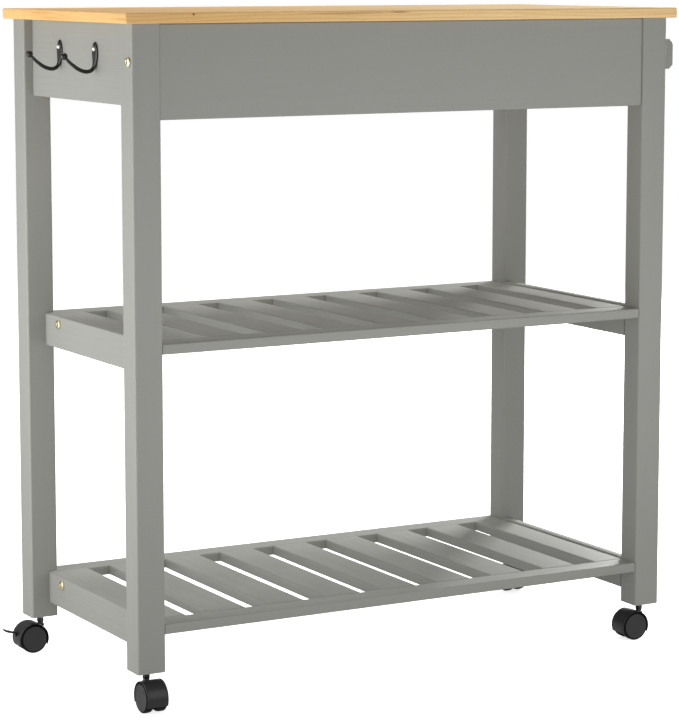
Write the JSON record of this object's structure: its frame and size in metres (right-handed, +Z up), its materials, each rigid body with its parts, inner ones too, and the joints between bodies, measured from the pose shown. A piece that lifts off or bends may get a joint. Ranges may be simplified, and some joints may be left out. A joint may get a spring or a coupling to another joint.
{
  "type": "kitchen island cart",
  "caption": "Narrow kitchen island cart with a wood top on painted legs, slatted shelves, end hooks, a towel rail and hooded twin-wheel casters with brakes.",
  "frame": {"origin": "on the floor, under the middle of the whole cart's bounding box", "axes": "+X along the worktop towards the towel rail, -Y towards the plain long side with the swung-forward casters, +Z up"},
  "size_m": [0.9132, 0.416, 0.9],
  "materials": {
    "grey_paint": "satin warm-grey paint on pine",
    "worktop_wood": "clear satin lacquer on pale solid wood",
    "bare_wood": "planed, unfinished",
    "black_iron": "black semi-gloss",
    "black_plastic": "fine-textured moulded nylon",
    "wheel_plastic": "smooth moulded nylon",
    "dark_steel": "black-oxide steel",
    "brass": "yellow-plated bolt and screw heads",
    "bright_steel": "zinc-plated screw heads"
  },
  "bodies": {
    "cart_frame": {"worktop": "worktop_wood", "leg_front_left": "grey_paint", "leg_front_right": "grey_paint", "leg_rear_left": "grey_paint", "leg_rear_right": "grey_paint", "apron_front": "grey_paint", "apron_rear": "grey_paint", "apron_left": "grey_paint", "apron_right": "grey_paint", "worktop_cleat_front": "bare_wood", "worktop_cleat_rear": "bare_wood", "low_shelf_rail_front": "grey_paint", "low_shelf_rail_rear": "grey_paint", "low_shelf_slat_1": "grey_paint", "low_shelf_slat_2": "grey_paint", "low_shelf_slat_3": "grey_paint", "low_shelf_slat_4": "grey_paint", "low_shelf_slat_5": "grey_paint", "low_shelf_slat_6": "grey_paint", "low_shelf_slat_7": "grey_paint", "low_shelf_slat_8": "grey_paint", "low_shelf_slat_9": "grey_paint", "low_end_rail_left": "grey_paint", "low_end_rail_right": "grey_paint", "mid_shelf_rail_front": "grey_paint", "mid_shelf_rail_rear": "grey_paint", "mid_shelf_slat_1": "grey_paint", "mid_shelf_slat_2": "grey_paint", "mid_shelf_slat_3": "grey_paint", "mid_shelf_slat_4": "grey_paint", "mid_shelf_slat_5": "grey_paint", "mid_shelf_slat_6": "grey_paint", "mid_shelf_slat_7": "grey_paint", "mid_shelf_slat_8": "grey_paint", "mid_shelf_slat_9": "grey_paint", "mid_end_rail_left": "grey_paint", "mid_end_rail_right": "grey_paint", "hook_front": "black_iron", "hook_rear": "black_iron", "towel_bracket_front": "grey_paint", "towel_bracket_rear": "grey_paint", "towel_bar": "grey_paint", "caster_stem_front_left": "dark_steel", "caster_stem_front_right": "dark_steel", "caster_stem_rear_left": "dark_steel", "caster_stem_rear_right": "dark_steel"},
    "caster_front_left": {"caster_hood_front_left": "black_plastic"},
    "wheel_front_left_a": {"caster_wheel_front_left_a": "wheel_plastic"},
    "wheel_front_left_b": {"caster_wheel_front_left_b": "wheel_plastic"},
    "caster_front_right": {"caster_hood_front_right": "black_plastic"},
    "wheel_front_right_a": {"caster_wheel_front_right_a": "wheel_plastic"},
    "wheel_front_right_b": {"caster_wheel_front_right_b": "wheel_plastic"},
    "caster_rear_left": {"caster_hood_rear_left": "black_plastic"},
    "wheel_rear_left_a": {"caster_wheel_rear_left_a": "wheel_plastic"},
    "wheel_rear_left_b": {"caster_wheel_rear_left_b": "wheel_plastic"},
    "brake_rear_left": {"brake_lever_rear_left": "black_plastic"},
    "caster_rear_right": {"caster_hood_rear_right": "black_plastic"},
    "wheel_rear_right_a": {"caster_wheel_rear_right_a": "wheel_plastic"},
    "wheel_rear_right_b": {"caster_wheel_rear_right_b": "wheel_plastic"},
    "brake_rear_right": {"brake_lever_rear_right": "black_plastic"}
  },
  "joints": [
    {"name": "swivel_front_left", "type": "hinge", "parent": "cart_frame", "child": "caster_front_left", "pos_m": [-0.40035, -0.17102, 0.0383], "axis": [0, 0, 1], "continuous": true},
    {"name": "roll_front_left_a", "type": "hinge", "parent": "caster_front_left", "child": "wheel_front_left_a", "pos_m": [-0.40035, -0.18602, 0.02], "axis": [1, 0, 0], "continuous": true},
    {"name": "roll_front_left_b", "type": "hinge", "parent": "caster_front_left", "child": "wheel_front_left_b", "pos_m": [-0.40035, -0.18602, 0.02], "axis": [1, 0, 0], "continuous": true},
    {"name": "swivel_front_right", "type": "hinge", "parent": "cart_frame", "child": "caster_front_right", "pos_m": [0.38005, -0.17102, 0.0383], "axis": [0, 0, 1], "continuous": true},
    {"name": "roll_front_right_a", "type": "hinge", "parent": "caster_front_right", "child": "wheel_front_right_a", "pos_m": [0.36505, -0.17102, 0.02], "axis": [0, 1, 0], "continuous": true},
    {"name": "roll_front_right_b", "type": "hinge", "parent": "caster_front_right", "child": "wheel_front_right_b", "pos_m": [0.36505, -0.17102, 0.02], "axis": [0, 1, 0], "continuous": true},
    {"name": "swivel_rear_left", "type": "hinge", "parent": "cart_frame", "child": "caster_rear_left", "pos_m": [-0.40035, 0.18038, 0.0383], "axis": [0, 0, 1], "continuous": true},
    {"name": "roll_rear_left_a", "type": "hinge", "parent": "caster_rear_left", "child": "wheel_rear_left_a", "pos_m": [-0.41535, 0.18038, 0.02], "axis": [0, 1, 0], "continuous": true},
    {"name": "roll_rear_left_b", "type": "hinge", "parent": "caster_rear_left", "child": "wheel_rear_left_b", "pos_m": [-0.41535, 0.18038, 0.02], "axis": [0, 1, 0], "continuous": true},
    {"name": "brake_pedal_rear_left", "type": "hinge", "parent": "caster_rear_left", "child": "brake_rear_left", "pos_m": [-0.42755, 0.18038, 0.0258], "axis": [0, -1, 0], "range_deg": [0, 16]},
    {"name": "swivel_rear_right", "type": "hinge", "parent": "cart_frame", "child": "caster_rear_right", "pos_m": [0.38005, 0.18038, 0.0383], "axis": [0, 0, 1], "continuous": true},
    {"name": "roll_rear_right_a", "type": "hinge", "parent": "caster_rear_right", "child": "wheel_rear_right_a", "pos_m": [0.38005, 0.16538, 0.02], "axis": [1, 0, 0], "continuous": true},
    {"name": "roll_rear_right_b", "type": "hinge", "parent": "caster_rear_right", "child": "wheel_rear_right_b", "pos_m": [0.38005, 0.16538, 0.02], "axis": [1, 0, 0], "continuous": true},
    {"name": "brake_pedal_rear_right", "type": "hinge", "parent": "caster_rear_right", "child": "brake_rear_right", "pos_m": [0.38005, 0.15318, 0.0258], "axis": [1, 0, 0], "range_deg": [0, 16]}
  ]
}
